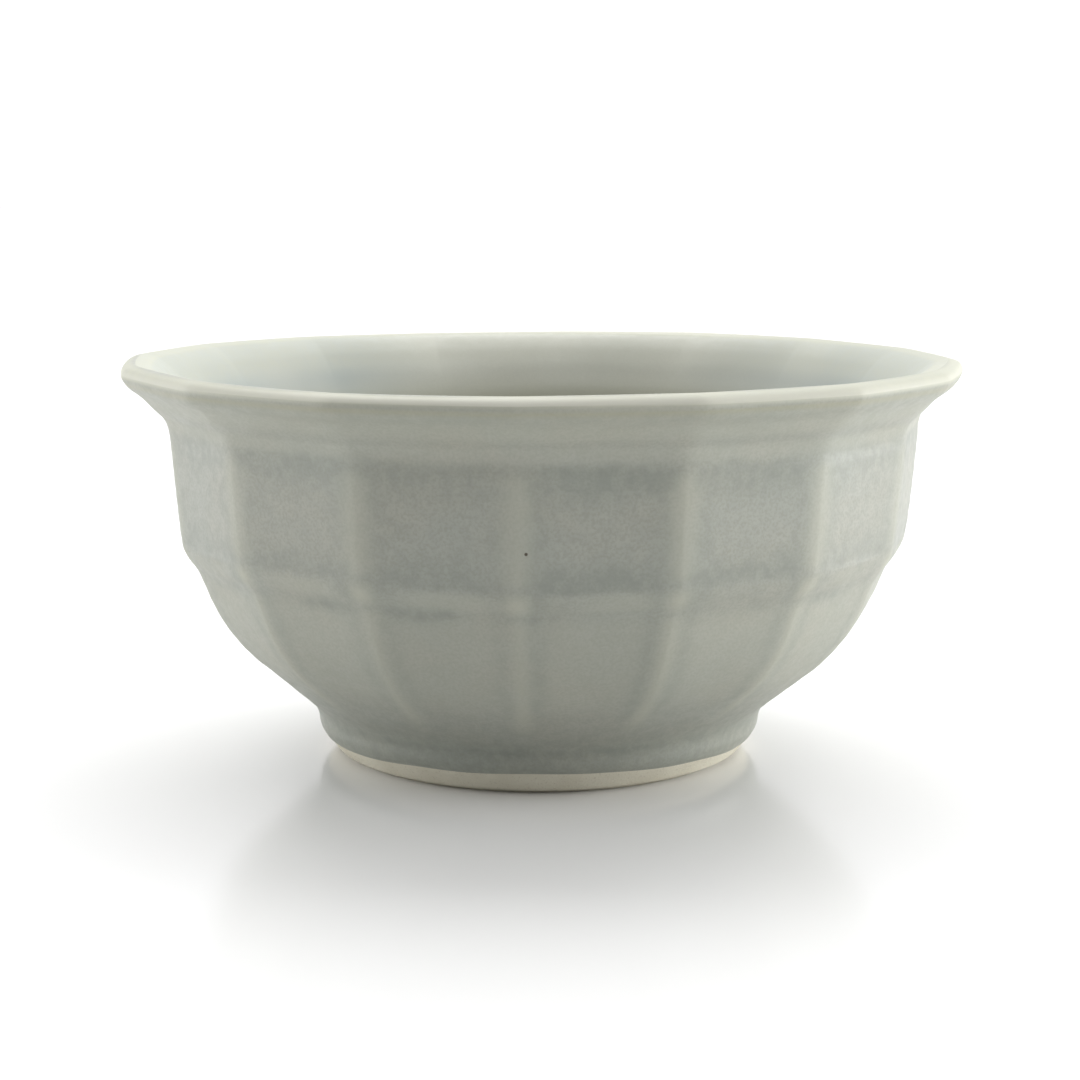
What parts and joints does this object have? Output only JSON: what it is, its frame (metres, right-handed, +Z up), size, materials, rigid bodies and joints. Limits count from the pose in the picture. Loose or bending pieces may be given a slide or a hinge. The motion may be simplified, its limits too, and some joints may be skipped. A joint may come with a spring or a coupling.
{
  "type": "shaving bowl",
  "caption": "Footed stoneware lather bowl with a flared lip, a wall cut into facets, satin celadon glaze and a bare clay foot.",
  "frame": {"origin": "centre of the circle on which the foot ring stands", "axes": "+Z up along the bowl's axis, -Y through a ridge between two facets"},
  "size_m": [0.1316, 0.1316, 0.062],
  "materials": {
    "clay": "bare fired stoneware, matte, fine sandy grain, warm cream-grey",
    "outer_glaze": "satin grey-green celadon that breaks cream on ridges and lip and pools darker in grooves",
    "inner_glaze": "satin grey-green celadon, smooth, slightly thicker and greener towards the floor"
  },
  "bodies": {
    "root": {"bowl_wall": "clay", "foot_ring": "clay", "outer_glaze": "outer_glaze", "inner_glaze": "inner_glaze", "foot_well_glaze": "outer_glaze"}
  },
  "joints": []
}
